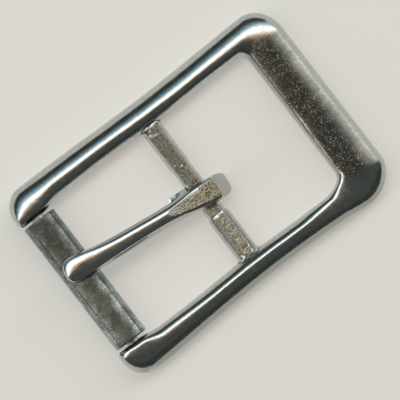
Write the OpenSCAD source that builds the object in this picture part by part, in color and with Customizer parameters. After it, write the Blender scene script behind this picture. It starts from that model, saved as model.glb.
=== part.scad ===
// Centre-bar roller buckle for a dress belt.
// A cast frame carries a roller on a pressed pin at one end, and a tongue that
// turns on a bar cast across the middle.
// X runs from the roller to the wide end bar, Z points away from the belt.
// The origin is the middle of the flat back.

/* [Frame outline] */

// Overall length from the lug tips to the end bar
frame_length = 65; // [63:0.5:67]
// Overall width over the lugs and the outer corners
frame_width = 44.6; // [44:0.2:46]
// Clear width between the side rails, which takes the strap
strap_opening = 32; // [31.5:0.1:32.5]
// Width of the end bar in plan
end_bar_width = 9.2; // [8:0.1:10.5]
// How much each rail draws in at mid-length on its outer edge
waist = 0.75; // [0:0.05:1.2]
// How much each rail swells into the opening at mid-length
inner_bow = 0.3; // [0:0.05:0.4]
// Plan radius of the outer corners at the end bar
end_corner_radius = 5.7; // [4.5:0.1:6.5]
// Plan radius of the inner corners at the end bar
inner_corner_radius = 1.8; // [1.2:0.1:2.5]
// Plan radius of the outer corners of the lugs
lug_corner_radius = 4.75; // [4:0.05:5]

/* [Frame section] */

// Height of the rails and the end bar at their crest
rail_height = 6.2; // [5.9:0.1:6.6]
// Height of the lugs at their crest
lug_height = 6.9; // [6.6:0.1:7.4]
// Height of the rounded top above the drafted sides
dome_height = 3.9; // [3.5:0.1:4.2]
// Share of the rail's width from its inner edge to its crest
rail_crest = 0.42; // [0.36:0.01:0.5]
// The same share on the lugs
lug_crest = 0.36; // [0.32:0.01:0.45]
// The same share on the end bar
end_bar_crest = 0.35; // [0.3:0.01:0.45]
// Width of the soft edge round the flat back
back_edge = 0.55; // [0.3:0.05:0.8]

/* [Centre bar] */

// Height of the centre bar's axis, about which the tongue turns
bar_axis_height = 3.75; // [3.7:0.05:3.9]
// Width of the centre bar at its widest
bar_width = 4.6; // [4.2:0.1:4.8]
// Thickness of the centre bar
bar_thickness = 2.6; // [2.4:0.1:2.8]
// Width of the flats on the top and bottom of the bar
bar_flat = 2.8; // [2.4:0.1:3]
// Radius of the fillets where the bar meets the rails
bar_fillet = 0.9; // [0.5:0.1:1.2]
// Length of the seat that the tongue's loop lies in
seat_length = 12; // [10:0.5:14]
// Width of the bar in the seat
seat_width = 4.2; // [3.9:0.05:4.2]
// Thickness of the bar in the seat
seat_thickness = 2.3; // [2:0.1:2.4]

/* [Roller and pin] */

// Diameter of the roller
roller_diameter = 7.2; // [6.8:0.1:7.3]
// Length of the roller
roller_length = 29.9; // [29:0.1:30.2]
// Diameter of the pin
pin_diameter = 2.7; // [2.4:0.1:3]
// Radial clearance between the roller's bore and the pin
roller_clearance = 0.08; // [0.04:0.01:0.1]
// Chamfer on the roller's ends
roller_chamfer = 0.35; // [0.2:0.05:0.5]
// Distance between the faces of the lugs at the roller
lug_spacing = 30.9; // [30.8:0.1:31.2]
// Distance from the lug tips to the roller's axis
roller_setback = 4.1; // [4:0.1:4.5]

/* [Tongue] */

// Distance from the bar's axis to the tip of the tongue
tongue_reach = 31.2; // [30.8:0.1:31.6]
// Angle by which the tongue lies skewed in its loose seat
tongue_skew = 6.8; // [0:0.2:8]
// Sideways offset of the loop in its seat
tongue_offset = 0.95; // [0:0.05:1.2]
// Width of the tongue at its tip
tip_width = 5.1; // [4.4:0.1:5.4]
// Width of the shank behind the tip
shank_width = 4.2; // [3.8:0.1:4.6]
// Width of the shank at its neck, just before the loop
neck_width = 4; // [3.4:0.1:4.2]
// Width of the tongue over its loop
root_width = 5.3; // [4.6:0.1:5.6]
// Height of the tongue's ground flat over the bar's axis
facet_height = 8.05; // [7.9:0.05:8.2]
// Slope of the ground flat towards the back of the loop
facet_slope = 4.2; // [3.6:0.1:5]
// Thickness of the tongue at its tip
tip_thickness = 2.45; // [2.2:0.05:2.8]
// Distance from the bar's axis to the back of the loop
loop_reach = 5.7; // [5.2:0.1:6]
// Radius of the tongue's bore round the bar
loop_bore_radius = 2.2; // [2.2:0.01:2.25]
// Gap between the tongue and the roller it lies on
tip_gap = 0.08; // [0.05:0.01:0.2]

/* [Hidden] */

$fn = 48;

// Rounded stretches of the swept sections and outlines.
dome_steps = 5;
corner_steps = 9;
lug_steps = 8;
flare_steps = 4;
rail_steps = 9;

half_length = frame_length / 2;
half_width = frame_width / 2;
window_end = half_length - end_bar_width;
lug_face = lug_spacing / 2;
roller_x = -half_length + roller_setback;
roller_top = bar_axis_height + roller_diameter / 2;
roller_bore_radius = pin_diameter / 2 + roller_clearance;
// Each end of the pin is crowned by this much, just inside the lug's widest line.
pin_crown = 0.6;
pin_crown_inset = 0.15;
pin_crown_radius = (pow(pin_diameter / 2, 2) + pow(pin_crown, 2)) / (2 * pin_crown);

// The rails are narrowest a little towards the end bar.
waist_x = 3;
waist_span = 27;
// The lugs hand over to the rails along this stretch.
flare_start = half_length - 5.3;
flare_end = half_length - 10.3;
// The lug's inner corner is cut off by this much.
lug_nip = 0.8;

// How far the bar and its seat run into what they join.
bar_root = 0.8;
seat_root = 0.5;
// The fillets are a little thinner than the bar.
fillet_thickness = 1.6;

metal = [0.66, 0.67, 0.66];
dark_metal = [0.52, 0.53, 0.52];

function mix(a, b, t) = a + (b - a) * t;
function ease(a, b, t) = mix(a, b, t * t * (3 - 2 * t));
function unit_range(x, low, high) = max(0, min(1, (x - low) / (high - low)));

// Share of the full waist at a station along the rail: it fades out at both ends.
function waist_share(x) = pow(cos(90 * min(1, abs(x - waist_x) / waist_span)), 2);
function rail_outer(x) = half_width - waist * waist_share(x);
function rail_inner(x) = strap_opening / 2 - inner_bow * waist_share(x);

// A station of the sweep: inner point, outer point, crest share, crest height
// and how square the inner shoulder is.
function station(inner, outer, crest, height, square) = [inner, outer, crest, height, square];

// Round the lug, from the cut inner corner to the outer edge of the rail.
function lug_station(t) =
    station(
        [mix(-half_length + lug_nip, -flare_start, t), lug_face],
        t == 0
            ? [-half_length, lug_face + lug_nip]
            : [
                -half_length + lug_corner_radius * (1 - cos(90 * (t - 1 / lug_steps) * lug_steps / (lug_steps - 1))),
                half_width - lug_corner_radius * (1 - sin(90 * (t - 1 / lug_steps) * lug_steps / (lug_steps - 1)))
            ],
        lug_crest,
        lug_height - 1.3 * pow(1 - t, 4),
        3.2
    );

// From the lug into the rail, where the inner edge steps back to the window.
function flare_station(t) =
    station(
        [mix(-flare_start, -flare_end, t), ease(lug_face, rail_inner(-flare_end), t)],
        [mix(-half_length + lug_corner_radius, -flare_end, t), mix(half_width, rail_outer(-flare_end), t)],
        ease(lug_crest, rail_crest, t),
        ease(lug_height, rail_height, t * 0.6),
        ease(3.2, 2, t)
    );

// Along the rail to the start of the end corner.
function rail_station(t) =
    let (
        inner_x = mix(-flare_end, window_end - inner_corner_radius, t),
        outer_x = mix(-flare_end, half_length - end_corner_radius, t)
    )
    station(
        [inner_x, rail_inner(inner_x)],
        [outer_x, rail_outer(outer_x)],
        rail_crest,
        ease(ease(lug_height, rail_height, 0.6), rail_height, unit_range(t, 0, 0.5)),
        2
    );

// Round the end corner.
function corner_station(t) =
    station(
        [
            window_end - inner_corner_radius * (1 - sin(90 * t)),
            strap_opening / 2 - inner_corner_radius * (1 - cos(90 * t))
        ],
        [
            half_length - end_corner_radius * (1 - sin(90 * t)),
            half_width - end_corner_radius * (1 - cos(90 * t))
        ],
        ease(rail_crest, end_bar_crest, t),
        rail_height,
        2
    );

// Half of the end bar, from the corner to the middle.
function end_station(t) =
    station(
        [window_end, (strap_opening / 2 - inner_corner_radius) * (1 - t)],
        [half_length, (half_width - end_corner_radius) * (1 - t)],
        end_bar_crest,
        rail_height,
        2
    );

half_stations = concat(
    [for (i = [0 : lug_steps]) lug_station(i / lug_steps)],
    [for (i = [1 : flare_steps]) flare_station(i / flare_steps)],
    [for (i = [1 : rail_steps]) rail_station(i / rail_steps)],
    [for (i = [1 : corner_steps]) corner_station(i / corner_steps)],
    [end_station(0.5), end_station(1)]
);

function mirrored(s) = [[s[0].x, -s[0].y], [s[1].x, -s[1].y], s[2], s[3], s[4]];

all_stations = concat(
    half_stations,
    [for (i = [len(half_stations) - 2 : -1 : 0]) mirrored(half_stations[i])]
);

// The closed section at one station: flat back, drafted outer side, rounded
// top that rises to the crest, squarer inner side.
function section_points(s) =
    let (
        inner = s[0],
        outer = s[1],
        width = norm(outer - inner),
        along = (inner - outer) / width,
        outer_run = width * (1 - s[2]),
        inner_run = width * s[2],
        foot = s[3] - dome_height,
        edge = min(back_edge, width * 0.3),
        profile = concat(
            [[edge, 0], [edge * 0.25, edge]],
            [for (k = [0 : dome_steps]) [
                outer_run * (1 - cos(90 * k / dome_steps)),
                foot + dome_height * sin(90 * k / dome_steps)
            ]],
            [for (k = [dome_steps - 1 : -1 : 0]) [
                outer_run + inner_run * pow(cos(90 * k / dome_steps), 2 / s[4]),
                foot + dome_height * pow(sin(90 * k / dome_steps), 2 / s[4])
            ]],
            [[width - edge * 0.25, edge], [width - edge, 0]]
        )
    )
    [for (p = profile) [outer.x + along.x * p.x, outer.y + along.y * p.x, p.y]];

// Joins equal rings of points into a closed solid.
module sweep(rings) {
    count = len(rings[0]);
    last = len(rings) - 1;
    polyhedron(
        points = [for (ring = rings) for (p = ring) p],
        faces = concat(
            [[for (j = [0 : count - 1]) j]],
            [for (i = [0 : last - 1]) for (j = [0 : count - 1]) each [
                [i * count + j, (i + 1) * count + j, (i + 1) * count + (j + 1) % count],
                [i * count + j, (i + 1) * count + (j + 1) % count, i * count + (j + 1) % count]
            ]],
            [[for (j = [count - 1 : -1 : 0]) last * count + j]]
        )
    );
}

// Lays a plan drawn in X and Z across the buckle, centred on y.
module across(length, y = 0) {
    translate([0, y + length / 2, 0])
        rotate([90, 0, 0])
            linear_extrude(height = length)
                children();
}

// Six-sided section of the centre bar, widest at mid-height.
module bar_section(width, thickness) {
    shoulder = (width - bar_flat) / 2;
    polygon([
        [-width / 2, 0],
        [-width / 2 + shoulder, thickness / 2],
        [width / 2 - shoulder, thickness / 2],
        [width / 2, 0],
        [width / 2 - shoulder, -thickness / 2],
        [-width / 2 + shoulder, -thickness / 2]
    ]);
}

// Plan of the fillet on one side of the bar's end.
module fillet_plan() {
    difference() {
        translate([-seat_root, 0])
            square([bar_fillet + seat_root, bar_fillet + 1]);
        translate([bar_fillet, 0])
            circle(r = bar_fillet);
    }
}

module centre_bar() {
    reach = strap_opening / 2 + bar_root;
    translate([0, 0, bar_axis_height]) {
        across(seat_length + 2 * seat_root)
            bar_section(seat_width, seat_thickness);
        for (side = [-1, 1])
            across(reach - seat_length / 2, side * (reach + seat_length / 2) / 2)
                bar_section(bar_width, bar_thickness);
    }
    for (side = [0, 1], face = [0, 1])
        mirror([0, side, 0])
            mirror([face, 0, 0])
                translate([
                    bar_width / 2 - 0.1,
                    strap_opening / 2 - inner_bow - bar_fillet,
                    bar_axis_height - fillet_thickness / 2
                ])
                    linear_extrude(height = fillet_thickness)
                        fillet_plan();
}

module frame_casting() {
    color(metal)
        difference() {
            union() {
                sweep([for (s = all_stations) section_points(s)]);
                centre_bar();
            }
            translate([roller_x, 0, bar_axis_height])
                rotate([90, 0, 0])
                    cylinder(d = pin_diameter, h = frame_width + 2, center = true);
        }
}

// Half of the pin's profile round its axis, with a crowned end.
module pin_half_profile() {
    half = frame_width / 2 - pin_crown_inset;
    radius = pin_diameter / 2;
    square([radius, half - pin_crown]);
    intersection() {
        translate([0, half - 2 * pin_crown])
            square([radius, 2 * pin_crown]);
        translate([0, half - pin_crown_radius])
            circle(r = pin_crown_radius);
    }
}

// The crowned ends lie in the rounded sides of the lugs.
module roller_pin() {
    color(dark_metal)
        translate([roller_x, 0, bar_axis_height])
            rotate([90, 0, 0])
                rotate_extrude() {
                    pin_half_profile();
                    mirror([0, 1, 0])
                        pin_half_profile();
                }
}

module roller() {
    half = roller_length / 2;
    radius = roller_diameter / 2;
    color(metal)
        translate([roller_x, 0, bar_axis_height])
            rotate([90, 0, 0])
                rotate_extrude()
                    polygon([
                        [roller_bore_radius, -half],
                        [radius - roller_chamfer, -half],
                        [radius, -half + roller_chamfer],
                        [radius, half - roller_chamfer],
                        [radius - roller_chamfer, half],
                        [roller_bore_radius, half]
                    ]);
}

// Tongue sizes along its own length, measured from the bar's axis.
tip_x = -tongue_reach;
nose_x = tip_x + 3;
shoulder_x = -20;
neck_x = -6.5;
root_x = -1.5;
loop_round = (facet_height - 0.2) / 2;
round_x = loop_reach - loop_round;
loop_middle = 0.2 + loop_round;
tip_bottom = roller_top + tip_gap;
tip_top = tip_bottom + tip_thickness;
// The ground flat takes this much off the rounded top over the bar's axis.
facet_depth = 0.45;
root_top = facet_height + facet_depth;
root_bottom = bar_axis_height - 0.6;
shank_bottom = 5.4;

function half_width_at(x) =
    x < nose_x ? tip_width / 2 * sqrt(max(0.02, 1 - pow((nose_x - x) / (nose_x - tip_x), 2)))
    : x < shoulder_x ? ease(tip_width, shank_width, unit_range(x, nose_x, shoulder_x)) / 2
    : x < neck_x ? ease(shank_width, neck_width, unit_range(x, shoulder_x, neck_x)) / 2
    : ease(neck_width, root_width, unit_range(x, neck_x, root_x)) / 2;

function underside_at(x) =
    x < -4 ? ease(tip_bottom, shank_bottom, unit_range(x, roller_x + 3, -4))
    : mix(shank_bottom, root_bottom, unit_range(x, -4, -3));

function top_at(x) =
    x < nose_x ? mix(tip_bottom + 0.5, tip_top, sqrt(max(0, 1 - pow((nose_x - x) / (nose_x - tip_x), 2))))
    : x < round_x ? mix(tip_top, root_top, unit_range(x, nose_x, 0))
    : loop_middle + (root_top - loop_middle) * sqrt(max(0.01, 1 - pow((x - round_x) / loop_round, 2)));

// Section of the tongue: flat underneath, half round on top.
function tongue_ring(x) =
    let (
        half = half_width_at(x),
        low = underside_at(x),
        high = top_at(x),
        side = low + min(0.7, (high - low) * 0.3)
    )
    concat(
        [[x, half - 0.25 * min(1, half), low]],
        [for (k = [0 : 2 * dome_steps]) [
            x,
            half * cos(90 * k / dome_steps),
            side + (high - side) * sin(90 * k / dome_steps)
        ]],
        [[x, -half + 0.25 * min(1, half), low]]
    );

tongue_stations = concat(
    [for (t = [0, 0.04, 0.12, 0.25, 0.42, 0.65, 1]) mix(tip_x, nose_x, t)],
    [for (i = [1 : 10]) mix(nose_x, neck_x, i / 10)],
    [-5.3, -4, -3, -2, root_x, 0, round_x],
    [for (a = [20, 35, 50, 63, 74]) round_x + loop_round * sin(a)]
);

// Points of an arc from one angle to another.
function arc(centre, radius, from, to, steps) =
    [for (i = [0 : steps]) centre + radius * [cos(mix(from, to, i / steps)), sin(mix(from, to, i / steps))]];

// Side view of the loop below the tongue's top, with its rounded back.
module loop_side() {
    polygon(concat(
        arc([0, bar_axis_height], bar_axis_height - 0.2, 175, 270, 10),
        arc([round_x, loop_middle], loop_round, 270, 358, 10),
        [[0, loop_middle - 0.05]]
    ));
}

// Side view of the hook's end, bent up beside the bar against the shank.
module tail_side() {
    polygon([
        [-2.6, 2],
        [-3.4, 2.6],
        [-6.3, 4.6],
        [-6.3, 5.2],
        [-5.6, 5.25],
        [-2.4, 5.25],
        [-1.9, 3.75]
    ]);
}

module tongue() {
    color(metal)
        difference() {
            union() {
                intersection() {
                    translate([0, -tongue_offset, 0])
                        rotate([0, 0, -tongue_skew])
                            sweep([for (x = tongue_stations) tongue_ring(x)]);
                    translate([0, 0, facet_height])
                        rotate([0, facet_slope, 0])
                            translate([-40, -20, -20])
                                cube([60, 40, 20]);
                }
                translate([0, -tongue_offset, 0])
                    rotate([0, 0, -tongue_skew])
                        across(root_width - 0.5)
                            loop_side();
                across(4, 0.5)
                    tail_side();
            }
            translate([0, 0, bar_axis_height])
                rotate([90, 0, 0])
                    cylinder(r = loop_bore_radius, h = 20, center = true);
        }
}

frame_casting();
roller_pin();
roller();
tongue();
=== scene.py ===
"""Centre-bar roller buckle: polished cast frame, satin roller, cast tongue."""

import math

import bmesh
import bpy
import numpy as np
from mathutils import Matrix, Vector, noise


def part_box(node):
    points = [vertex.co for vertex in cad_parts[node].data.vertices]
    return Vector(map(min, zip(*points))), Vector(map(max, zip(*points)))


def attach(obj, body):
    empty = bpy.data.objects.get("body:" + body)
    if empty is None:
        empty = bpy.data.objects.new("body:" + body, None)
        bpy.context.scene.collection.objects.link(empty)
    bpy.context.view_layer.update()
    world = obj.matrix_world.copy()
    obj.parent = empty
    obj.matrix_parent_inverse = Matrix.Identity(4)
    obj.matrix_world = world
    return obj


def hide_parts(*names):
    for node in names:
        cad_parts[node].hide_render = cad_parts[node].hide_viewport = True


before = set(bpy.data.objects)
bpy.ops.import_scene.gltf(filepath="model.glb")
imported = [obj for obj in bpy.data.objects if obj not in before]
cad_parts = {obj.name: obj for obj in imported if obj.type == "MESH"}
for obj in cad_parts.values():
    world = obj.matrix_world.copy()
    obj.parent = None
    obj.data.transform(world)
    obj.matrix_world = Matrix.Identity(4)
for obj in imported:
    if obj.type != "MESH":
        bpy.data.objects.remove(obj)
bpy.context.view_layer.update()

MM = 0.001
frame_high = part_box("frame_casting")[1]
roller_low, roller_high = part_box("roller")
pin_low, pin_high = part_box("roller_pin")

# Main sizes in millimetres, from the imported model.
HALF_LENGTH = frame_high.x / MM
HALF_WIDTH = frame_high.y / MM
LUG_HEIGHT = frame_high.z / MM
ROLLER_X = (roller_low.x + roller_high.x) / 2 / MM
AXIS_HEIGHT = (roller_low.z + roller_high.z) / 2 / MM
ROLLER_RADIUS = (roller_high.z - roller_low.z) / 2 / MM
ROLLER_LENGTH = (roller_high.y - roller_low.y) / MM
PIN_RADIUS = (pin_high.z - pin_low.z) / 2 / MM
ROLLER_TOP = AXIS_HEIGHT + ROLLER_RADIUS

# Sizes of the frame that its box does not give, also in millimetres.
RAIL_HEIGHT = 6.2
DOME_HEIGHT = 3.9
OPENING = 16.04
WINDOW_END = 23.25
LUG_FACE = 15.45
LUG_RADIUS = 4.75
LUG_NIP = 0.8
FLARE_START = -HALF_LENGTH + 5.3
FLARE_END = -HALF_LENGTH + 10.3
WAIST_X = 3.0
BACK_EDGE = 0.55
INNER_BOW = 0.36
TIP_DROP = 1.1
NOSE_SHARE = 0.07
FLARE_DROP = 0.6
CREST_DIP = 0.01

# Squareness of the section's quarter arcs, inner then outer: 2 is an ellipse.
LUG_SQUARES = (3.0, 2.3)
FLARE_SQUARES = (2.7, 2.05)
RAIL_SQUARE = 2.1
OUTER_SQUARE = 2.25
BAR_MIDDLE_SQUARE = 2.6
BAR_MIDDLE_CREST = 0.30


def mix(a, b, t):
    """From a to b in a straight line."""
    return a + (b - a) * t


def ease(a, b, t):
    """From a to b, slow at both ends."""
    t = np.clip(t, 0.0, 1.0)
    return a + (b - a) * t * t * (3 - 2 * t)


def unit_range(x, low, high):
    """How far x has come from low to high, held between 0 and 1."""
    return np.clip((x - low) / (high - low), 0.0, 1.0)


def hump(x, middle, span):
    """1 at the middle, fading out with no kink at the span."""
    return math.cos(math.pi / 2 * min(1.0, abs(x - middle) / span)) ** 2


# ---------------------------------------------------------------- mesh tools


def skin(rings, close_ends=True):
    """Verts and quads through equal closed rings, with fans over the two ends."""
    count = len(rings[0])
    verts = [tuple(p) for ring in rings for p in ring]
    faces = []
    for i in range(len(rings) - 1):
        for j in range(count):
            k = (j + 1) % count
            here, ahead = i * count, (i + 1) * count
            faces.append((here + j, ahead + j, ahead + k, here + k))
    if close_ends:
        for start, flip in ((0, False), ((len(rings) - 1) * count, True)):
            centre = np.mean(np.array(verts[start:start + count]), axis=0)
            verts.append(tuple(centre))
            hub = len(verts) - 1
            for j in range(count):
                a, b = start + j, start + (j + 1) % count
                faces.append((hub, b, a) if flip else (hub, a, b))
    return verts, faces


def make_piece(name, verts, faces):
    """A mesh object from millimetre points, normals outward, smooth shaded."""
    mesh = bpy.data.meshes.new(name)
    mesh.from_pydata([(x * MM, y * MM, z * MM) for x, y, z in verts], [], faces)
    piece = bpy.data.objects.new(name, mesh)
    bpy.context.scene.collection.objects.link(piece)
    finish_mesh(mesh)
    return piece


def finish_mesh(mesh, crease=38):
    """Merges doubles, turns faces outward, smooths all but the hard edges."""
    bm = bmesh.new()
    bm.from_mesh(mesh)
    bmesh.ops.remove_doubles(bm, verts=bm.verts, dist=1e-7)
    bmesh.ops.recalc_face_normals(bm, faces=bm.faces)
    for face in bm.faces:
        face.smooth = True
    for edge in bm.edges:
        inside = len(edge.link_faces) == 2
        edge.smooth = not inside or edge.calc_face_angle(0.0) < math.radians(crease)
    bm.to_mesh(mesh)
    bm.free()
    mesh.update()


def applied(piece):
    """Replaces a piece's mesh by the result of its modifiers."""
    graph = bpy.context.evaluated_depsgraph_get()
    result = bpy.data.meshes.new_from_object(piece.evaluated_get(graph), depsgraph=graph)
    piece.modifiers.clear()
    piece.data = result
    finish_mesh(result)
    return piece


def boolean(piece, cutter, operation):
    """Cuts or joins another closed piece, which is then thrown away."""
    modifier = piece.modifiers.new(operation.lower(), "BOOLEAN")
    modifier.operation = operation
    modifier.solver = "EXACT"
    modifier.object = cutter
    applied(piece)
    bpy.data.objects.remove(cutter)
    return piece


def lathe(profile, segments):
    """Rings round the Y axis from (radius, y) points, open at both ends."""
    rings = []
    for radius, y in profile:
        angles = np.linspace(0, 2 * math.pi, segments, endpoint=False)
        rings.append([(radius * math.cos(a), y, radius * math.sin(a)) for a in angles])
    return rings


def moved(rings, x, z):
    """The same rings, shifted across and up."""
    return [[(p[0] + x, p[1], p[2] + z) for p in ring] for ring in rings]


def surface_noise(p, scale, seed=0.0):
    """Smooth noise about 0 at a point in millimetres, with this feature size."""
    place = (p[0] / scale + seed, p[1] / scale - seed, p[2] / scale + 3 * seed)
    return noise.noise(Vector(place))


def hand_finish(verts, amount, scale, seed):
    """Moves every point by a little smooth noise, as a hand-polished surface wanders."""
    points = np.array(verts)
    seeds = (seed, seed + 7, seed + 13)
    shifts = np.array([[surface_noise(p, scale, own) for own in seeds] for p in points])
    return [tuple(p) for p in points + shifts * amount]


# ------------------------------------------------------------------ the frame


# The two halves of the frame are not alike. A crest is the share of the width from
# the inner edge to the highest line, and "middle" is the middle of the corner's turn.
UPPER = dict(
    inner_round=(1.6, 1.5), corner=(5.5, 6.4), corner_power=1.95,
    tip_crest=0.30, lug_crest=0.33, lug_reach=1, rail_crest=0.43,
    corner_crest=0.345, middle_crest=0.41, bar_crest=0.37, middle_square=2.3, bar_square=2.5,
)
LOWER = dict(
    inner_round=(5.0, 2.8), corner=(6.8, 5.8), corner_power=1.72,
    tip_crest=0.295, lug_crest=0.235, lug_reach=2, rail_crest=0.385,
    corner_crest=0.26, middle_crest=0.17, bar_crest=0.195, middle_square=3.6, bar_square=3.1,
)


def rail_outer(x, side):
    """Outer edge of a rail: the rails draw in at mid-length, one more than the other."""
    share = hump(x, WAIST_X, 27)
    fade = 1 - ease(0, 1, unit_range(x, 20.0, 25.7))
    return HALF_WIDTH - (0.47 * share if side > 0 else 1.0 * share ** 0.6) * fade


def rail_inner(x):
    """Inner edge of a rail, which swells a little into the opening."""
    return OPENING - INNER_BOW * hump(x, 0.2, 18)


def frame_station(inner, outer, crest, height, inner_square, outer_square):
    """One place along the frame: its two edges in plan and the shape of its section."""
    return dict(inner=inner, outer=outer, crest=crest, height=height, inner_square=inner_square,
                outer_square=outer_square)


def crest_fall(t, side):
    """How far the crest has moved towards the opening, from the lug to the corner."""
    return float(unit_range(t, 0.35, 1) if side > 0 else unit_range(t, 0.74, 1) ** 1.6)


def lug_stations(form, steps=44):
    """From the lug's tip round its outer corner."""
    stations = []
    for i in range(steps + 1):
        t = i / steps
        turn = max(0.0, (t - NOSE_SHARE) / (1 - NOSE_SHARE)) * math.pi / 2
        outer = (-HALF_LENGTH + LUG_RADIUS * (1 - math.cos(turn)),
                 HALF_WIDTH - LUG_RADIUS * (1 - math.sin(turn)))
        if t < NOSE_SHARE:
            outer = (-HALF_LENGTH, mix(LUG_FACE + LUG_NIP, outer[1], t / NOSE_SHARE))
        inner = (mix(-HALF_LENGTH + LUG_NIP, FLARE_START, t), LUG_FACE)
        crest = mix(form["tip_crest"], form["lug_crest"], min(1, t * form["lug_reach"]))
        height = LUG_HEIGHT - TIP_DROP * (1 - t) ** 5
        stations.append(frame_station(inner, outer, crest, height, *LUG_SQUARES))
    return stations


def flare_stations(form, side, steps=20):
    """Where the wide lug draws in to the rail."""
    blend = mix if side > 0 else ease
    stations = []
    for i in range(1, steps + 1):
        t = i / steps
        x = mix(-HALF_LENGTH + LUG_RADIUS, FLARE_END, t)
        stations.append(frame_station(
            (mix(FLARE_START, FLARE_END, t), ease(LUG_FACE, rail_inner(FLARE_END), t)),
            (x, rail_outer(x, side)),
            blend(form["lug_crest"], form["rail_crest"] - CREST_DIP, t),
            ease(LUG_HEIGHT, RAIL_HEIGHT, t * FLARE_DROP),
            ease(LUG_SQUARES[0], FLARE_SQUARES[0], t),
            ease(LUG_SQUARES[1], FLARE_SQUARES[1], t),
        ))
    return stations


def rail_stations(form, side, steps=90):
    """The long rail, up to the start of the corner."""
    rail_crest = form["rail_crest"]
    lug_rest = ease(LUG_HEIGHT, RAIL_HEIGHT, FLARE_DROP)
    stations = []
    for i in range(1, steps + 1):
        t = i / steps
        inner_x = mix(FLARE_END, WINDOW_END - form["inner_round"][0], t)
        outer_x = mix(FLARE_END, HALF_LENGTH - form["corner"][0], t)
        crest = rail_crest - CREST_DIP * (1 - float(unit_range(t, 0, 0.3)))
        crest -= (rail_crest - form["corner_crest"]) * crest_fall(t, side)
        inner_square = ease(FLARE_SQUARES[0], RAIL_SQUARE, unit_range(t, 0, 0.35))
        inner_square += ease(0, (form["middle_square"] - RAIL_SQUARE) / 2, unit_range(t, 0.8, 1))
        stations.append(frame_station(
            (inner_x, rail_inner(inner_x)),
            (outer_x, rail_outer(outer_x, side)),
            crest,
            ease(lug_rest, RAIL_HEIGHT, unit_range(t, 0, 0.5)),
            inner_square,
            ease(FLARE_SQUARES[1], OUTER_SQUARE, unit_range(t, 0.7, 1)),
        ))
    return stations


def corner_stations(form, steps=48):
    """Round the corner: an elliptic turn inside, a superellipse outside."""
    round_x, round_y = form["inner_round"]
    corner_x, corner_y = form["corner"]
    power = 2 / form["corner_power"]
    start_square = mix(RAIL_SQUARE, form["middle_square"], 0.5)
    stations = []
    for i in range(1, steps + 1):
        turn = i / steps * math.pi / 2
        inner = (WINDOW_END - round_x * (1 - math.sin(turn)),
                 rail_inner(WINDOW_END) - round_y * (1 - math.cos(turn)))
        outer = (HALF_LENGTH - corner_x * (1 - math.sin(turn) ** power),
                 HALF_WIDTH - corner_y * (1 - max(0.0, math.cos(turn)) ** power))
        t = i / steps * 2
        if t < 1:
            crest = ease(form["corner_crest"], form["middle_crest"], t)
            square = ease(start_square, form["middle_square"], t)
        else:
            crest = ease(form["middle_crest"], form["bar_crest"], t - 1)
            square = ease(form["middle_square"], form["bar_square"], t - 1)
        stations.append(frame_station(inner, outer, crest, RAIL_HEIGHT, square, OUTER_SQUARE))
    return stations


def end_bar_stations(form, steps=24):
    """From the corner to the middle of the end bar."""
    inner_y = rail_inner(WINDOW_END) - form["inner_round"][1]
    outer_y = HALF_WIDTH - form["corner"][1]
    stations = []
    for i in range(1, steps + 1):
        t = i / steps
        stations.append(frame_station(
            (WINDOW_END, inner_y * (1 - t)),
            (HALF_LENGTH, outer_y * (1 - t)),
            mix(form["bar_crest"], BAR_MIDDLE_CREST, t),
            RAIL_HEIGHT,
            mix(form["bar_square"], BAR_MIDDLE_SQUARE, t),
            OUTER_SQUARE,
        ))
    return stations


def half_frame(side):
    """Stations from the lug's tip to the middle of the end bar, on one side."""
    form = UPPER if side > 0 else LOWER
    stations = lug_stations(form) + flare_stations(form, side) + rail_stations(form, side)
    stations += corner_stations(form) + end_bar_stations(form)
    for s in stations:
        s["inner"] = (s["inner"][0], side * s["inner"][1])
        s["outer"] = (s["outer"][0], side * s["outer"][1])
    return stations


def quarter(steps):
    """Angles over a quarter turn, both ends included."""
    return [math.pi / 2 * k / steps for k in range(steps + 1)]


def section(station, outer_steps=22, inner_steps=18, edge_steps=5):
    """Closed section of the frame: flat back, drafted sides, domed top."""
    inner, outer = np.array(station["inner"]), np.array(station["outer"])
    width = np.linalg.norm(outer - inner)
    along = (inner - outer) / width
    outer_run, inner_run = width * (1 - station["crest"]), width * station["crest"]
    outer_power, inner_power = 2 / station["outer_square"], 2 / station["inner_square"]
    foot = station["height"] - DOME_HEIGHT
    edge = min(BACK_EDGE, width * 0.3)
    soft_edge = [(edge * 0.25 + edge * 0.75 * (1 - math.sin(a)), edge * (1 - math.cos(a)))
                 for a in quarter(edge_steps)]
    profile = list(soft_edge)
    for a in quarter(outer_steps):
        profile.append((outer_run * (1 - abs(math.cos(a)) ** outer_power),
                        foot + DOME_HEIGHT * math.sin(a) ** outer_power))
    for a in quarter(inner_steps)[-2::-1]:
        profile.append((outer_run + inner_run * math.cos(a) ** inner_power,
                        foot + DOME_HEIGHT * math.sin(a) ** inner_power))
    profile += [(width - u, z) for u, z in soft_edge[::-1]]
    return [(outer[0] + along[0] * u, outer[1] + along[1] * u, z) for u, z in profile]


def frame_rings():
    """Sections from one lug round the end bar to the other lug."""
    upper, lower = half_frame(1), half_frame(-1)
    return [section(s) for s in upper + lower[-2::-1]]


# The cast bar across the middle, and the seat in it that the prong turns on.
BAR_HALF_WIDTH = 2.3
BAR_HALF_THICK = 1.24
BAR_FLAT = 1.18
BAR_FILLET = 0.7
BAR_EXTRA = 0.25
BAR_PARTING = -0.5
SEAT_PARTING = -0.3
BAR_REACH = 16.8
SEAT_HALF_WIDTH = 2.12
SEAT_HALF_THICK = 1.14
SEAT_MIDDLE = 0.28


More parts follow.
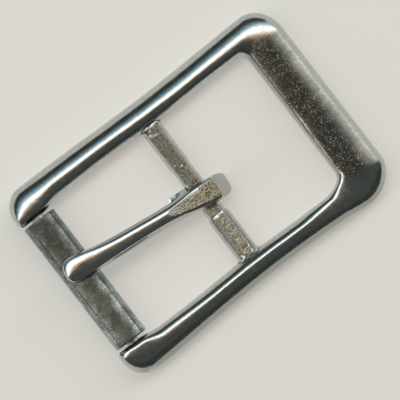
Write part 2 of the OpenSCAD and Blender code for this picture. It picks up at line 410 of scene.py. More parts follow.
def rounded(points, rounds):
    """Cuts the corners of a closed outline again and again until they are round."""
    for i in range(rounds):
        cut = []
        share = 0.16 if i == 0 else 0.25
        for a, b in zip(points, points[1:] + points[:1]):
            a, b = np.array(a), np.array(b)
            cut += [tuple(a + (b - a) * share), tuple(b + (a - b) * share)]
        points = cut
    return points


def bar_ring(y):
    """One section across the cast bar: six sided, flared where it meets a rail."""
    seat = 1 - float(ease(0, 1, unit_range(abs(y - SEAT_MIDDLE), 5.7, 6.7)))
    half = mix(BAR_HALF_WIDTH + (BAR_EXTRA if y < 0 else 0.0), SEAT_HALF_WIDTH, seat)
    thick = mix(BAR_HALF_THICK, SEAT_HALF_THICK, seat)
    parting = mix(BAR_PARTING, SEAT_PARTING, seat)
    near = abs(y) - (OPENING - INNER_BOW - BAR_FILLET)
    flare = 0.0
    if near > 0:
        reach = min(1.0, near / BAR_FILLET)
        flare = BAR_FILLET * (1 - math.sqrt(max(0.0, 1 - reach * reach)))
    wide, flat = half + flare, BAR_FLAT + flare * 0.4
    corners = [(-wide, parting), (-flat, thick), (flat, thick),
               (wide, parting), (flat, -thick), (-flat, -thick)]
    return [(x, y, AXIS_HEIGHT + z) for x, z in rounded(corners, 3)]


def shoulder(x, outer_y, inner_y, notch, seed):
    """Where a shoulder of the seat runs: it jogs inward across the notch and wanders a little."""
    return mix(outer_y, inner_y, unit_range(x, *notch)) + 0.08 * surface_noise((x, 0, 0), 0.4, seed)


def as_cast(verts):
    """Rough skin on the flats of the bar, and the uneven shoulders of its seat."""
    result = []
    for x, y, z in verts:
        height = z - AXIS_HEIGHT
        top = unit_range(abs(height), 0.8, 1.1)
        rough = 0.035 * surface_noise((x, y, z), 0.45, 2) + 0.02 * surface_noise((x, y, z), 0.2, 5)
        step = 0.0
        if height > 0:
            high_end = shoulder(x, 6.75, 6.0, (-0.35, -0.2), 8)
            low_end = shoulder(x, -6.1, -5.45, (-1.2, -0.2), 6)
            step = -0.055 * unit_range(y, high_end - 0.05, high_end + 0.45)
            step += 0.04 * math.exp(-((y - high_end) / 0.25) ** 2)
            step += 0.02 * (1 - unit_range(y, low_end - 0.4, low_end))
        result.append((x + 0.02 * surface_noise((x, y, z), 0.8, 9), y, z + top * (rough + step)))
    return result


def build_frame():
    """The rails as one loft, joined with the cast bar and drilled for the pin."""
    verts, faces = skin(frame_rings())
    casting = make_piece("frame_polished", hand_finish(verts, 0.022, 3.2, 1.0), faces)
    bar_ys = np.linspace(-BAR_REACH, BAR_REACH, 300)
    bar_verts, bar_faces = skin([bar_ring(y) for y in bar_ys])
    bar = make_piece("bar_blank", as_cast(bar_verts), bar_faces)
    boolean(casting, bar, "UNION")
    radius, reach = PIN_RADIUS + 0.01, HALF_WIDTH + 1
    drill_rings = moved(lathe([(radius, -reach), (radius, reach)], 96), ROLLER_X, AXIS_HEIGHT)
    drill = make_piece("pin_drill", *skin(drill_rings))
    boolean(casting, drill, "DIFFERENCE")
    paint_attribute(casting, "cast_skin", bar_skin_share)
    paint_attribute(casting, "end_bar", end_bar_share)
    # Painted shade mask for the lower rail's outer flank.
    paint_attribute(casting, "painted_flank_shade", painted_flank_shade_share)
    return casting


def paint_attribute(piece, name, rule):
    """Stores a share from 0 to 1 at every point, for the finish to read."""
    mesh = piece.data
    layer = mesh.attributes.new(name, "FLOAT", "POINT")
    normals = [v.normal for v in mesh.vertices]
    layer.data.foreach_set("value", [rule(v.co / MM, n) for v, n in zip(mesh.vertices, normals)])


def bar_skin_share(p, normal):
    """The bar's flats stay as cast; its drafted sides and the rails are polished."""
    if abs(p.x) > 3.4 or abs(p.y) > 16.3:
        return 0.0
    flat = unit_range(abs(normal.z), 0.75, 0.95) * (1 - 0.9 * unit_range(normal.y, 0.07, 0.12))
    rubbed = unit_range(surface_noise(p, 0.9, 3) + 0.11 * (abs(p.y) - 15.0), 0.0, 0.12)
    worn = 1 - 0.85 * rubbed * (p.z > AXIS_HEIGHT)
    return float(flat * worn * (1 - unit_range(abs(p.y), 15.6, 16.2)))


def painted_flank_shade_share(p, normal):
    """Painted shade on the outer flank of the lower rail, the side that faces away from the
    softbox.
    """
    return float(unit_range(-normal.y, 0.55, 0.85) * unit_range(-p.y, 16.5, 18.0))


def end_bar_share(p, _):
    """Pitted skin on the end bar, fading out towards its corners and its outer edge."""
    across = unit_range(p.x, 23.0, 24.6) * (1 - unit_range(p.x, 28.2, 30.2))
    along = 1 - unit_range(abs(p.y), 14.5, 18.5)
    return float(across * along)


# ----------------------------------------------------------- roller and pin


TUBE_INPUTS = (
    ("Outer radius", "NodeSocketFloat", 0.0036),
    ("Bore radius", "NodeSocketFloat", 0.0014),
    ("Length", "NodeSocketFloat", 0.03),
    ("Edge radius", "NodeSocketFloat", 0.0003),
    ("Segments", "NodeSocketInt", 128),
    ("Finish", "NodeSocketMaterial", None),
)
# Rings of points along half the roller, in millimetres from its middle.
ROLLER_LOOPS = (0.05, 5.0, 10.0, 13.8, 14.45, 14.6)
ROLLER_EDGE = 0.3
BORE_CLEARANCE = 0.08


def tube_tree():
    """Geometry Nodes: a round-edged tube turned from its wall's section."""
    tree = bpy.data.node_groups.new("turned_tube", "GeometryNodeTree")
    sockets = {}
    for name, kind, default in TUBE_INPUTS:
        socket = tree.interface.new_socket(name=name, in_out="INPUT", socket_type=kind)
        if default is not None:
            socket.default_value = default
        sockets[name] = socket.identifier
    tree.interface.new_socket(name="Geometry", in_out="OUTPUT", socket_type="NodeSocketGeometry")
    nodes, links = tree.nodes, tree.links
    entry, exit_node = nodes.new("NodeGroupInput"), nodes.new("NodeGroupOutput")

    def math_node(operation, a, b):
        node = nodes.new("ShaderNodeMath")
        node.operation = operation
        for socket, value in zip(node.inputs, (a, b)):
            if isinstance(value, (int, float)):
                socket.default_value = value
            else:
                links.new(value, socket)
        return node.outputs[0]

    outer, bore = entry.outputs["Outer radius"], entry.outputs["Bore radius"]
    wall = math_node("SUBTRACT", outer, bore)
    middle = math_node("MULTIPLY", math_node("ADD", outer, bore), 0.5)
    ring = nodes.new("GeometryNodeCurvePrimitiveCircle")
    links.new(entry.outputs["Segments"], ring.inputs["Resolution"])
    links.new(middle, ring.inputs["Radius"])
    wall_section = nodes.new("GeometryNodeCurvePrimitiveQuadrilateral")
    links.new(wall, wall_section.inputs["Width"])
    links.new(entry.outputs["Length"], wall_section.inputs["Height"])
    fillet = nodes.new("GeometryNodeFilletCurve")
    fillet.mode = "POLY"
    links.new(wall_section.outputs["Curve"], fillet.inputs["Curve"])
    links.new(entry.outputs["Edge radius"], fillet.inputs["Radius"])
    fillet.inputs["Count"].default_value = 8
    turned = nodes.new("GeometryNodeCurveToMesh")
    links.new(ring.outputs["Curve"], turned.inputs["Curve"])
    links.new(fillet.outputs["Curve"], turned.inputs["Profile Curve"])
    upright = nodes.new("GeometryNodeTransform")
    links.new(turned.outputs["Mesh"], upright.inputs["Geometry"])
    upright.inputs["Rotation"].default_value = (math.pi / 2, 0, 0)
    upright.inputs["Translation"].default_value = (ROLLER_X * MM, 0, AXIS_HEIGHT * MM)
    realize = nodes.new("GeometryNodeRealizeInstances")
    links.new(upright.outputs["Geometry"], realize.inputs["Geometry"])
    finish = nodes.new("GeometryNodeSetMaterial")
    links.new(realize.outputs["Geometry"], finish.inputs["Geometry"])
    links.new(entry.outputs["Finish"], finish.inputs["Material"])
    links.new(finish.outputs["Geometry"], exit_node.inputs["Geometry"])
    return tree, sockets


def build_roller(finish):
    """The loose roller, its tree applied and rings of points added."""
    tree, sockets = tube_tree()
    mesh = bpy.data.meshes.new("roller_satin")
    piece = bpy.data.objects.new("roller_satin", mesh)
    bpy.context.scene.collection.objects.link(piece)
    modifier = piece.modifiers.new("turned_tube", "NODES")
    modifier.node_group = tree
    sizes = {
        "Outer radius": ROLLER_RADIUS * MM,
        "Bore radius": (PIN_RADIUS + BORE_CLEARANCE) * MM,
        "Length": ROLLER_LENGTH * MM,
        "Edge radius": ROLLER_EDGE * MM,
        "Segments": 160,
        "Finish": finish,
    }
    for name, value in sizes.items():
        modifier[sockets[name]] = value
    applied(piece)
    for y in ROLLER_LOOPS:
        for place in (-y * MM, y * MM):
            cut_loop(piece.data, place)
    return piece


def cut_loop(mesh, y):
    """Adds a ring of points, so that the shading of the round ends does not bleed inward."""
    bm = bmesh.new()
    bm.from_mesh(mesh)
    bmesh.ops.bisect_plane(bm, geom=bm.verts[:] + bm.edges[:] + bm.faces[:], dist=1e-8,
                           plane_co=(0, y, 0), plane_no=(0, 1, 0))
    bm.to_mesh(mesh)
    bm.free()
    mesh.update()


LUG_RUN = 0.7
LUG_SIDE_SQUARE = 2.3
PIN_INSET = 0.02
PIN_CROWN = 0.07
PIN_SEGMENTS = 72


def lug_side(x, z):
    """How far out the lug's outer surface stands at this place."""
    out = HALF_WIDTH
    if x < -HALF_LENGTH + LUG_RADIUS:
        out += math.sqrt(LUG_RADIUS ** 2 - (x + HALF_LENGTH - LUG_RADIUS) ** 2) - LUG_RADIUS
    foot = LUG_HEIGHT - DOME_HEIGHT
    if z < foot:
        return out
    rise = ((z - foot) / DOME_HEIGHT) ** LUG_SIDE_SQUARE
    return out - (out - LUG_FACE) * LUG_RUN * (1 - (1 - rise) ** (1 / LUG_SIDE_SQUARE))


def pin_cap(side):
    """Rings over one end of the pin, from its middle outward, following the lug."""
    cap = []
    for turn in quarter(12):
        radius = max(0.0005, PIN_RADIUS * math.sin(turn))
        crown = PIN_CROWN * (1 - math.sqrt(1 - min(1.0, radius / PIN_RADIUS) ** 2 * 0.999))
        ring = []
        for a in np.linspace(0, 2 * math.pi, PIN_SEGMENTS, endpoint=False):
            x, z = ROLLER_X + radius * math.cos(a), AXIS_HEIGHT + radius * math.sin(a)
            ring.append((x, side * (lug_side(x, z) - PIN_INSET - crown), z))
        cap.append(ring)
    return cap


def build_pin():
    """A plain pin whose ends are dressed flush with the lugs."""
    shaft = lathe([(PIN_RADIUS, y) for y in np.linspace(-19, 19, 9)], PIN_SEGMENTS)
    rings = pin_cap(-1) + moved(shaft, ROLLER_X, AXIS_HEIGHT) + pin_cap(1)[::-1]
    return make_piece("pin_flush", *skin(rings))


# ----------------------------------------------------------------- the tongue

# The prong lies a little askew and off centre in its seat. The other numbers are
# millimetres along the prong, with the bar's axis at 0, or above the flat back.
SKEW = math.radians(6.8)
OFFSET = 0.98
BULB_SHIFT = 0.32
BULB_HALF_WIDTH = 2.6
TIP_X = -31.24
NOSE_X = -28.2
BORE = 2.2
TIP_LOW = ROLLER_TOP + 0.08
TIP_HIGH = TIP_LOW + 2.45
FLAT_HEIGHT = 8.05
FLAT_SLOPE = 0.108
FLAT_START = -7.35
END_X = 5.72
END_SLANT = 0.413
END_MIDDLE = 2.3
ROOT_HIGH = FLAT_HEIGHT + 0.05
SHANK_LOW = 5.4
SHANK_END = -4.0
LOOP_RADIUS = 3.55
LOOP_LOW = 0.2
LOOP_FLAT_END = 2.2
END_LOW_X = 5.7
ARCH_STEPS = 64
TAIL_INNER = (-5.7, 5.2)
TAIL_OUTER = (-6.35, 4.75)


# Half widths along the tongue, from the bulb to the loop.
TONGUE_PLAN = (
    (-28.6, 2.6), (-27.0, 2.56), (-23.6, 2.27), (-20.2, 2.14), (-14.7, 2.06), (-10.8, 2.02),
    (-7.3, 2.04), (-4.9, 2.14), (-2.9, 2.34), (-1.0, 2.52), (1.0, 2.6), (2.6, 2.6),
    (3.6, 2.58), (4.6, 2.52), (5.2, 2.36), (5.72, 1.95),
)


def nose(x, power):
    """Superellipse over the bulb's end: 1 where it begins and 0 at the tip."""
    return max(0.0, 1 - ((NOSE_X - x) / (NOSE_X - TIP_X)) ** power) ** (1 / power)


def tongue_half_width(x):
    """Half the prong's width, which ends in a full bulb."""
    if x < NOSE_X:
        return BULB_HALF_WIDTH * nose(x, 3)
    return smooth_curve(x, *zip(*TONGUE_PLAN))


def smooth_curve(x, xs, values):
    """A smooth line through a few points, without overshoot at the ends."""
    xs, values = np.array(xs), np.array(values)
    slopes = np.gradient(values, xs)
    i = int(np.clip(np.searchsorted(xs, x) - 1, 0, len(xs) - 2))
    h = xs[i + 1] - xs[i]
    t = float(np.clip((x - xs[i]) / h, 0, 1))
    return float((1 + 2 * t) * (1 - t) ** 2 * values[i] + t * (1 - t) ** 2 * h * slopes[i]
                 + t * t * (3 - 2 * t) * values[i + 1] + t * t * (t - 1) * h * slopes[i + 1])


def tongue_low(x):
    """The underside: just over the roller at the tip, lower towards the bar."""
    return float(ease(TIP_LOW, SHANK_LOW, unit_range(x, ROLLER_X + 3, SHANK_END)))


def tongue_high_line(x):
    """The top line, which stands a little proud of the flat that is ground into it."""
    if x < NOSE_X:
        return mix(TIP_LOW + 0.9, TIP_HIGH, nose(x, 2.6))
    if x < FLAT_START:
        return mix(TIP_HIGH, ground_height(FLAT_START), (x - NOSE_X) / (FLAT_START - NOSE_X))
    proud = float(np.interp(x, (FLAT_START, -5.2, -2.5, 0.0), (0.0, 0.10, 0.06, 0.05)))
    return ground_height(x) + proud


def polar(radius, a):
    """A point round the bar's axis, in side view."""
    return radius * math.cos(a), AXIS_HEIGHT + radius * math.sin(a)


def mix_points(a, b, t):
    """From point a to point b in a straight line."""
    return mix(a[0], b[0], t), mix(a[1], b[1], t)


def loop_angles():
    """Degrees from the top to the bottom of the loop, with a ring at the sharp end corner."""
    corner = math.degrees(math.atan2(ROOT_HIGH - AXIS_HEIGHT, end_line(ROOT_HIGH)))
    near, clear = 0.35, 0.9
    angles = [a for a in np.linspace(90, -90, 110)[1:] if abs(a - corner) > clear]
    return sorted(angles + [corner + near, corner, corner - near], reverse=True)


def tongue_path():
    """Inner and outer points in side view with half width and phase, from the tip to the tail."""
    pairs = []

    def add_shank(x, inner):
        pairs.append((inner, (x, tongue_high_line(x)), tongue_half_width(x), 0.0))

    for turn in np.linspace(0, 1, 26) * math.pi / 2:
        x = max(TIP_X + (NOSE_X - TIP_X) * (1 - math.cos(turn)), TIP_X + 0.0005)
        add_shank(x, (x, tongue_low(x)))
    for x in np.linspace(NOSE_X, SHANK_END, 110)[1:]:
        add_shank(x, (x, tongue_low(x)))
    for t in np.linspace(0, 1, 24)[1:]:
        x = mix(SHANK_END, 0.0, t)
        rim = polar(BORE, math.pi / 2 + math.radians(46) * (1 - t))
        add_shank(x, mix_points((x, SHANK_LOW), rim, ease(0, 1, unit_range(t, 0, 0.45))))
    for angle in loop_angles():
        a = math.radians(angle)
        outer = outline_point(a)
        phase = float(unit_range(50 - angle, 0, 10))
        pairs.append((polar(BORE, a), outer, tongue_half_width(outer[0]), phase))
    for t in np.linspace(0, 1, 40)[1:]:
        a = math.radians(mix(-90, -172, t))
        lead = ease(0, 1, unit_range(t, 0.45, 1.0))
        inner = mix_points(polar(BORE, a), TAIL_INNER, lead)
        outer = mix_points(polar(LOOP_RADIUS, a), TAIL_OUTER, lead)
        pairs.append((inner, outer, mix(2.55, 2.0, t), 1.0 + float(unit_range(t, 0.08, 0.34))))
    return pairs


def end_line(z):
    """The slanted end of the loop, very slightly bulged."""
    share = (z - END_MIDDLE) / (ROOT_HIGH - END_MIDDLE)
    return END_X - END_SLANT * (z - END_MIDDLE) + 0.12 * math.sin(math.pi * share)


def in_outline(x, z):
    """Whether a point is inside the loop's side view: flat top, slanted end, round below."""
    if not LOOP_LOW < z < ROOT_HIGH:
        return False
    if z > END_MIDDLE:
        return x < end_line(z)
    if x < LOOP_FLAT_END:
        return True
    across = (x - LOOP_FLAT_END) / (END_LOW_X - LOOP_FLAT_END)
    return math.hypot(across, (z - END_MIDDLE) / (END_MIDDLE - LOOP_LOW)) < 1


def outline_point(a):
    """Where a ray from the bar's axis leaves the loop's side view."""
    low, high = 0.5, 9.0
    for _ in range(40):
        reach = (low + high) / 2
        low, high = (reach, high) if in_outline(*polar(reach, a)) else (low, reach)
    return polar(low, a)


def tongue_section(inner, outer, half, top):
    """Drafted sides under an arched top: the arch's rise, squareness, crest and side insets."""
    inner, outer = np.array(inner), np.array(outer)
    thick = np.linalg.norm(outer - inner)
    way = (outer - inner) / max(thick, 1e-9)
    rise, square, crest, inset_plus, inset_minus = top
    rise = min(rise, thick * 0.7)
    side = thick - rise
    share = min(1.0, half / 2.0)
    edge = min(0.22, half * 0.3, side * 0.5)
    plus, minus = half - inset_plus * share, half - inset_minus * share
    crest *= share
    soft_edge = [(half - edge + edge * math.sin(a), edge * (1 - math.cos(a))) for a in quarter(4)]
    rises = [k / 5 for k in range(1, 5)]
    points = soft_edge + [(mix(half, plus, t * t), mix(edge, side, t)) for t in rises]
    for k in range(ARCH_STEPS + 1):
        a = math.pi * k / ARCH_STEPS
        across = abs(math.cos(a)) ** (2 / square)
        reach = plus - crest if math.cos(a) > 0 else -minus - crest
        points.append((crest + reach * across, side + rise * math.sin(a) ** (2 / square)))
    points += [(-mix(half, minus, t * t), mix(edge, side, t)) for t in rises[::-1]]
    points += [(-y, z) for y, z in soft_edge[::-1]]
    points += [(mix(-half + edge, half - edge, k / 8), 0.0) for k in range(1, 8)]
    return [(inner[0] + way[0] * v, u, inner[1] + way[1] * v) for u, v in points]


# Along the tongue, a row each: the arched top's rise, squareness and crest, and the
# insets of its two sides.
TONGUE_TOP_X = (-31.2, -28.6, -23.6, -20.2, -14.7, -10.8, -7.3, -4.9, -2.9, -1.0, 1.0, 3.3)
TONGUE_TOP = (
    (0.50, 0.52, 0.60, 0.86, 0.95, 1.10, 1.2, 1.2, 1.2, 1.2, 1.2, 1.2),
    (2.1, 2.1, 2.6, 3.0, 3.0, 3.0, 3.0, 3.3, 4.0, 4.6, 5.0, 5.0),
    (-0.1, -0.05, -0.05, 0.0, 0.0, 0.0, 0.0, 0.0, 0.0, 0.0, 0.0, 0.0),
    (0.22, 0.22, 0.36, 0.42, 0.45, 0.45, 0.45, 0.4, 0.35, 0.32, 0.3, 0.3),
    (0.22, 0.25, 0.5, 0.65, 0.75, 0.75, 0.7, 0.6, 0.45, 0.4, 0.35, 0.3),
)


def tongue_rings():
    """Sections along the path. The phase is 0 on top, 1 under the bar and 2 on the tail."""
    below, tail = (0.4, 3.0, 0.0, 0.12, 0.12), (0.3, 3.0, 0.0, -0.8, 0.1)
    rings = []
    for inner, outer, half, phase in tongue_path():
        top = [float(np.interp(outer[0], TONGUE_TOP_X, row)) for row in TONGUE_TOP]
        shape = [mix(a, b, min(1.0, phase)) for a, b in zip(top, below)]
        shape = [mix(a, b, max(0.0, phase - 1)) for a, b in zip(shape, tail)]
        rings.append(tongue_section(inner, outer, half, shape))
    return rings


def ground_height(x):
    """The plane of the ground flat, level over the loop and rising along the shank."""
    return FLAT_HEIGHT - FLAT_SLOPE * min(x, 0.0)


def build_tongue():
    """The prong: lofted, its top ground flat over the loop, and set askew on the bar."""
    verts, faces = skin(tongue_rings())
    placed = []
    for x, y, z in verts:
        y += float(ease(0, BULB_SHIFT, unit_range(-x, 19.0, 28.5)))
        wx = x * math.cos(SKEW) + y * math.sin(SKEW)
        wy = -x * math.sin(SKEW) + y * math.cos(SKEW) - OFFSET
        # Ground flat with a soft edge: a smooth minimum of the top and the ground plane.
        over = z - ground_height(x)
        soft = mix(0.012, 0.055, float(unit_range(y, 0.9, 1.7)))
        z -= soft * math.log1p(math.exp(min(40, over / soft)))
        placed.append((wx, wy, z))
    placed = hand_finish(placed, 0.018, 2.4, 4.0)
    tongue = make_piece("tongue_cast", placed, faces)
    paint_attribute(tongue, "ground_flat", ground_share)
    # Painted shade mask for the prong's sides and the loop's end.
    paint_attribute(tongue, "painted_side_shade", painted_side_shade_share)
    return tongue


def ground_share(p, normal):
    """The flat ground on top of the loop, a touch rougher than the polish round it."""
    x = p.x * math.cos(SKEW) - (p.y + OFFSET) * math.sin(SKEW)
    near = 1 - unit_range(abs(p.z - (ground_height(x) - 0.01)), 0.03, 0.08)
    started = unit_range(x, FLAT_START - 0.3, FLAT_START + 0.1)
    return float(near * started * unit_range(normal.z, 0.985, 0.996))


def painted_side_shade_share(p, normal):
    """Painted shade on the shank's +y side, a little on its -y side, and on the loop's slanted end.
    """
    side = max(unit_range(normal.y, 0.6, 0.8), 0.15 * unit_range(-normal.y, 0.6, 0.8))
    side *= unit_range(p.x, -26.0, -22.0) * (1 - unit_range(p.x, 0.0, 2.0))
    end = 0.55 * unit_range(normal.x, 0.5, 0.8) * unit_range(p.x, 2.0, 3.0)
    return float(max(side, end))


# ------------------------------------------------------------------ finishes


class Finish:
    """A small helper round one material's node tree."""

    def __init__(self, name, colour, metallic=1.0, roughness=0.2):
        self.material = bpy.data.materials.new(name)
        self.material.use_nodes = True
        self.nodes, self.links = self.material.node_tree.nodes, self.material.node_tree.links
        self.shader = self.nodes["Principled BSDF"]
        self.shader.inputs["Base Color"].default_value = (*colour, 1)
        self.shader.inputs["Metallic"].default_value = metallic
        self.shader.inputs["Roughness"].default_value = roughness
        self.coords = self.nodes.new("ShaderNodeTexCoord").outputs["Object"]

    def node(self, kind, **values):
        node = self.nodes.new(kind)
        for key, value in values.items():
            setattr(node, key, value)
        return node

    def mapped(self, scale, turn):
        mapping = self.node("ShaderNodeMapping")
        mapping.inputs["Scale"].default_value = scale
        mapping.inputs["Rotation"].default_value = turn
        self.links.new(self.coords, mapping.inputs["Vector"])
        return mapping.outputs["Vector"]

    def noise(self, size_mm, detail=3.0, rough=0.55, stretch=(1, 1, 1), turn=(0, 0, 0)):
        texture = self.node("ShaderNodeTexNoise")
        texture.inputs["Scale"].default_value = 1 / (size_mm * MM)
        texture.inputs["Detail"].default_value = detail
        texture.inputs["Roughness"].default_value = rough
        self.links.new(self.mapped(stretch, turn), texture.inputs["Vector"])
        return texture.outputs["Fac"]

    def along(self, axis):
        """How far along the object's X, Y or Z axis a point lies, in metres."""
        place = self.node("ShaderNodeSeparateXYZ")
        self.links.new(self.coords, place.inputs[0])
        return place.outputs[axis]

    def attribute(self, name):
        reader = self.node("ShaderNodeAttribute")
        reader.attribute_name = name
        return reader.outputs["Fac"]

    def math(self, operation, a, b=0.0, clamp=False):
        node = self.node("ShaderNodeMath", operation=operation, use_clamp=clamp)
        for socket, value in zip(node.inputs, (a, b)):
            self.put(socket, value)
        return node.outputs[0]

    def put(self, socket, value):
        if isinstance(value, (int, float)):
            socket.default_value = value
        else:
            self.links.new(value, socket)

    def spread(self, value, low, high, to_low=0.0, to_high=1.0):
        """Takes the range low to high smoothly to another range, held at its ends."""
        node = self.node("ShaderNodeMapRange", interpolation_type="SMOOTHSTEP")
        limits = {"From Min": low, "From Max": high, "To Min": to_low, "To Max": to_high}
        for name, number in limits.items():
            self.put(node.inputs[name], number)
        self.links.new(value, node.inputs["Value"])
        return node.outputs["Result"]

    def blend(self, share, a, b):
        """Colour a where the share is 0, and b where it is 1."""
        node = self.node("ShaderNodeMix", data_type="RGBA")
        self.put(node.inputs["Factor"], share)
        for socket, value in ((node.inputs[6], a), (node.inputs[7], b)):
            if isinstance(value, tuple):
                socket.default_value = (*value, 1)
            else:
                self.links.new(value, socket)
        return node.outputs[2]

    def set(self, name, value):
        self.links.new(value, self.shader.inputs[name])

    def bump(self, height, distance_mm, after=None):
        node = self.node("ShaderNodeBump")
        node.inputs["Strength"].default_value = 1.0
        node.inputs["Distance"].default_value = distance_mm * MM
        self.links.new(height, node.inputs["Height"])
        if after is not None:
            self.links.new(after, node.inputs["Normal"])
        return node.outputs["Normal"]


NICKEL = (0.60, 0.615, 0.59)
THIN_NICKEL = (0.50, 0.515, 0.495)
PITTED_PLATE = (0.225, 0.22, 0.195)
# Colour of the painted shade on the lower rail's outer flank.
PAINTED_FLANK_SHADE = (0.34, 0.355, 0.33)
# Colour of the painted shade on the prong's sides.
PAINTED_SIDE_SHADE = (0.33, 0.34, 0.32)
RAW_LOW, RAW_HIGH = (0.10, 0.075, 0.045), (0.72, 0.65, 0.49)
GROUND_LOW, GROUND_HIGH = (0.09, 0.068, 0.038), (0.53, 0.475, 0.355)
GROUND_START = (0.66, 0.62, 0.53)
SATIN_LIGHT, SATIN_DARK = (0.47, 0.53, 0.51), (0.17, 0.195, 0.185)
BLACK = (0.0, 0.0, 0.0)


def clouded_plate(f, size_mm):
    """Nickel with faint clouds, where the plate is thinner."""
    return f.blend(f.spread(f.noise(size_mm, 4, 0.6), 0.35, 0.65), NICKEL, THIN_NICKEL)


def polished_casting():
    """Bright nickel over a polished casting, pitted on the end bar and raw on the bar, with painted
    shade on the lower rail's outer flank and a painted shadow on the bar's -y half.
    """
    f = Finish("plated_casting_polished", NICKEL)
    raw, pitted = f.attribute("cast_skin"), f.attribute("end_bar")
    haze = f.spread(f.noise(1.6, 4), 0.35, 0.7, 0.16, 0.22)
    haze = f.math("SUBTRACT", haze, f.math("MULTIPLY", pitted, 0.06))
    f.set("Roughness", f.math("ADD", haze, f.math("MULTIPLY", raw, 0.12), clamp=True))

    grain = f.noise(0.26, 3, 0.65)
    raw_skin_and_shadow = f.blend(f.spread(grain, 0.40, 0.60), RAW_LOW, RAW_HIGH)
    # Painted shadow: the raw skin darkens towards -y, under the prong's root and over the bar's
    # lower half.
    raw_skin_and_shadow = f.blend(f.spread(f.along("Y"), -0.006, 0.001, 1.0, 0.6), BLACK, raw_skin_and_shadow)
    pitted_share = f.math("MULTIPLY", pitted, f.spread(f.noise(0.5, 3), 0.35, 0.65, 0.55, 1.0))
    plate = f.blend(pitted_share, clouded_plate(f, 0.7), PITTED_PLATE)
    # Painted shade: the lower rail's outer flank is darkened towards a dim grey.
    plate = f.blend(f.math("MULTIPLY", f.attribute("painted_flank_shade"), 0.9), plate, PAINTED_FLANK_SHADE)
    f.set("Base Color", f.blend(f.math("MULTIPLY", raw, 0.95), plate, raw_skin_and_shadow))

    wave = f.bump(f.noise(1.1, 2), 0.006)
    hair = f.noise(0.12, 2, 0.5, stretch=(0.15, 1, 1), turn=(0, 0, 0.5))
    hairs = f.bump(hair, 0.0026, after=wave)
    speck = f.spread(f.noise(0.3, 2, 0.6), 0.6, 0.74)
    patch = f.math("MULTIPLY", pitted, f.spread(f.noise(3.5, 2), 0.3, 0.62, 0.4, 1.0))
    pitting = f.bump(f.math("MULTIPLY", speck, patch), 0.014, after=hairs)
    f.set("Normal", f.bump(f.math("MULTIPLY", grain, raw), 0.16, after=pitting))
    return f.material


def satin_roller():
    """Satin plate with fine slanting scratches and dull blotches."""
    f = Finish("plated_roller_satin", (0.56, 0.57, 0.54))
    blotch, fine = f.noise(2.2, 4, 0.6), f.noise(0.5, 3, 0.6)
    broad_haze = f.spread(blotch, 0.3, 0.7, 0.15, 0.21)
    f.set("Roughness", f.math("ADD", broad_haze, f.spread(fine, 0.3, 0.7, -0.04, 0.06)))

    stain = f.math("ADD", f.math("MULTIPLY", blotch, 0.6), f.math("MULTIPLY", fine, 0.4))
    shade = f.blend(f.spread(stain, 0.38, 0.62), SATIN_LIGHT, SATIN_DARK)
    darker_end = f.spread(f.along("Y"), -0.008, 0.010, 0.0, 0.40)
    f.set("Base Color", f.blend(darker_end, shade, BLACK))

    scratch = f.noise(0.16, 2, 0.5, stretch=(0.2, 1, 1), turn=(0, 0.3, 0.9))
    scratched = f.bump(scratch, 0.010)
    f.set("Normal", f.bump(f.noise(0.35, 3, 0.6), 0.018, after=scratched))
    return f.material


def cast_tongue():
    """Polished prong with a rough ground flat over the loop, and painted shade on its sides and
    end.
    """
    f = Finish("plated_tongue_polished", NICKEL)
    ground = f.attribute("ground_flat")
    haze = f.spread(f.noise(1.2, 4), 0.35, 0.7, 0.12, 0.17)
    f.set("Roughness", f.math("ADD", haze, f.math("MULTIPLY", ground, 0.12), clamp=True))

    grain = f.noise(0.22, 3, 0.65, stretch=(1, 0.6, 1), turn=(0, 0, 0.1))
    flat_colour = f.blend(f.spread(grain, 0.40, 0.60), GROUND_LOW, GROUND_HIGH)
    light_start = f.spread(f.along("X"), -0.0066, -0.0038, 0.45, 0.0)
    flat_colour = f.blend(light_start, flat_colour, GROUND_START)
    # Painted shade: the prong's sides and the loop's end are darkened towards a dim grey.
    plate = f.blend(f.attribute("painted_side_shade"), clouded_plate(f, 0.6), PAINTED_SIDE_SHADE)
    f.set("Base Color", f.blend(f.math("MULTIPLY", ground, 0.95), plate, flat_colour))

    wave = f.bump(f.noise(0.9, 2), 0.005)
    f.set("Normal", f.bump(f.math("MULTIPLY", grain, ground), 0.13, after=wave))
    return f.material


def plated_pin():
    """Plain plated wire, dulled by the roller that turns on it."""
    f = Finish("plated_pin_dull", (0.52, 0.52, 0.49))
    f.set("Roughness", f.spread(f.noise(0.8, 3), 0.3, 0.7, 0.2, 0.36))
    f.set("Normal", f.bump(f.noise(0.2, 2, 0.5, stretch=(1, 0.2, 1)), 0.004))
    return f.material


def floor_finish():
    """Pale matt board, lit a little from below as on a light table."""
    f = Finish("pale_board", (0.64, 0.62, 0.585), metallic=0.0, roughness=0.8)
    f.shader.inputs["Emission Color"].default_value = (0.98, 0.945, 0.885, 1)
    f.shader.inputs["Emission Strength"].default_value = 0.37
    f.set("Normal", f.bump(f.noise(1.5, 3), 0.01))
    return f.material


# ---------------------------------------------------------------- the pieces

casting_piece = build_frame()
roller_finish = satin_roller()
roller_piece = build_roller(roller_finish)
pin_piece = build_pin()
tongue_piece = build_tongue()

for piece, body, node, slot, finish in (
    (casting_piece, "frame", "frame_casting", "plated_casting", polished_casting()),
    (pin_piece, "frame", "roller_pin", "plated_pin", plated_pin()),
    (roller_piece, "roller", "roller", "plated_roller", roller_finish),
    (tongue_piece, "tongue", "tongue", "plated_tongue", cast_tongue()),
):
    piece.data.materials.clear()
    piece.data.materials.append(finish)
    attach(piece, body)
    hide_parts(node)

# ----------------------------------------------------------- floor and light


FLOOR_HALF = 1.5
FLOOR_DROP = 0.00005


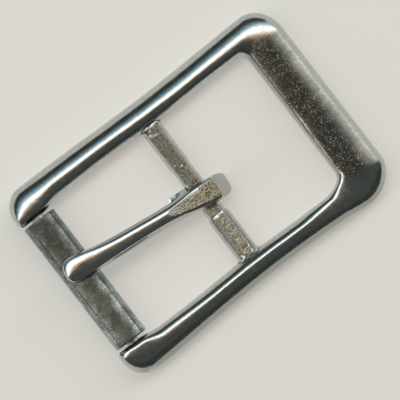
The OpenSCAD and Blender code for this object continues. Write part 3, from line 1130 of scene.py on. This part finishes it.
def make_floor():
    """A board just under the flat back."""
    corners = [(x * FLOOR_HALF, y * FLOOR_HALF, -FLOOR_DROP)
               for x, y in ((-1, -1), (1, -1), (1, 1), (-1, 1))]
    mesh = bpy.data.meshes.new("board")
    mesh.from_pydata(corners, [], [(0, 1, 2, 3)])
    board = bpy.data.objects.new("board", mesh)
    bpy.context.scene.collection.objects.link(board)
    mesh.materials.append(floor_finish())


def panel(name, place, target, size, radiance, colour=(1, 1, 1)):
    """A rectangular soft light that faces its target, of this brightness."""
    data = bpy.data.lights.new(name, "AREA")
    data.shape = "RECTANGLE"
    data.size, data.size_y = size
    data.energy = radiance * math.pi * size[0] * size[1]
    data.color = colour
    light = bpy.data.objects.new(name, data)
    light.location = place
    light.rotation_euler = (Vector(target) - Vector(place)).to_track_quat("-Z", "Y").to_euler()
    light.visible_camera = False
    bpy.context.scene.collection.objects.link(light)
    return light


# A long softbox beside the zenith whose far side fades. Each strip: the angles from
# upright where it starts and ends, its brightness and its tint.
SOFTBOX = (
    (-50, 4, 0.035, (1.0, 1.0, 0.96)),
    (4, 9, 0.82, (1.0, 0.62, 0.32)),
    (9, 25, 2.3, (1.0, 0.97, 0.92)),
    (25, 31, 1.25, (0.74, 0.92, 1.0)),
    (31, 38, 0.75, (0.55, 0.83, 1.0)),
    (38, 46, 0.40, (0.48, 0.81, 1.0)),
    (46, 56, 0.18, (0.48, 0.80, 1.0)),
)
SOFTBOX_HEIGHT = 2.4
SOFTBOX_LENGTH = 38.0

# A dim wall past the end bar, brighter towards the floor. Each band: the angles from
# upright and the brightness.
END_WALLS = (
    (28, 38, 0.06), (38, 48, 0.13), (48, 58, 0.22),
    (58, 68, 0.33), (68, 79, 0.46), (79, 90, 0.60),
)
WALL_REACH = 2.5
WALL_WIDTH = 1.75
WALL_SHIFT = 0.3
WALL_TINT = (0.96, 1.0, 0.97)
ROOM_COLOUR = (0.045, 0.053, 0.051)


def make_lights():
    """The softbox in strips, the wall in bands, and a dim room round them."""
    for low, high, radiance, tint in SOFTBOX:
        near = SOFTBOX_HEIGHT * math.tan(math.radians(low))
        far = SOFTBOX_HEIGHT * math.tan(math.radians(high))
        middle = (near + far) / 2
        strip = panel("softbox_%02d" % (low + 50), (0, middle, SOFTBOX_HEIGHT), (0, middle, 0),
                      (SOFTBOX_LENGTH, far - near), radiance, tint)
        strip.rotation_euler = (0, 0, 0)
    for low, high, radiance in END_WALLS:
        middle, span = math.radians((low + high) / 2), math.radians(high - low)
        place = (WALL_REACH * math.sin(middle), WALL_SHIFT, WALL_REACH * math.cos(middle))
        size = (WALL_WIDTH, 2 * WALL_REACH * math.tan(span / 2))
        panel("end_wall_%02d" % low, place, (0, WALL_SHIFT, 0), size, radiance, WALL_TINT)
    world = bpy.data.worlds.new("dim_room")
    world.use_nodes = True
    world.node_tree.nodes["Background"].inputs["Color"].default_value = (*ROOM_COLOUR, 1)
    bpy.context.scene.world = world


VIEW_WIDTH = 78.52
VIEW_MIDDLE = (-0.98, -1.335)
VIEW_TURN = math.radians(-37.6)
CAMERA_HEIGHT = 0.25


def make_camera():
    """Straight down, square to the flat back, turned so that the roller end is lower left."""
    data = bpy.data.cameras.new("overhead")
    data.type = "ORTHO"
    data.ortho_scale = VIEW_WIDTH * MM
    data.clip_start, data.clip_end = 0.01, 5
    camera = bpy.data.objects.new("overhead", data)
    camera.location = (VIEW_MIDDLE[0] * MM, VIEW_MIDDLE[1] * MM, CAMERA_HEIGHT)
    camera.rotation_euler = (0, 0, VIEW_TURN)
    bpy.context.scene.collection.objects.link(camera)
    bpy.context.scene.camera = camera


make_floor()
make_lights()
make_camera()
bpy.context.scene.view_settings.view_transform = "Standard"
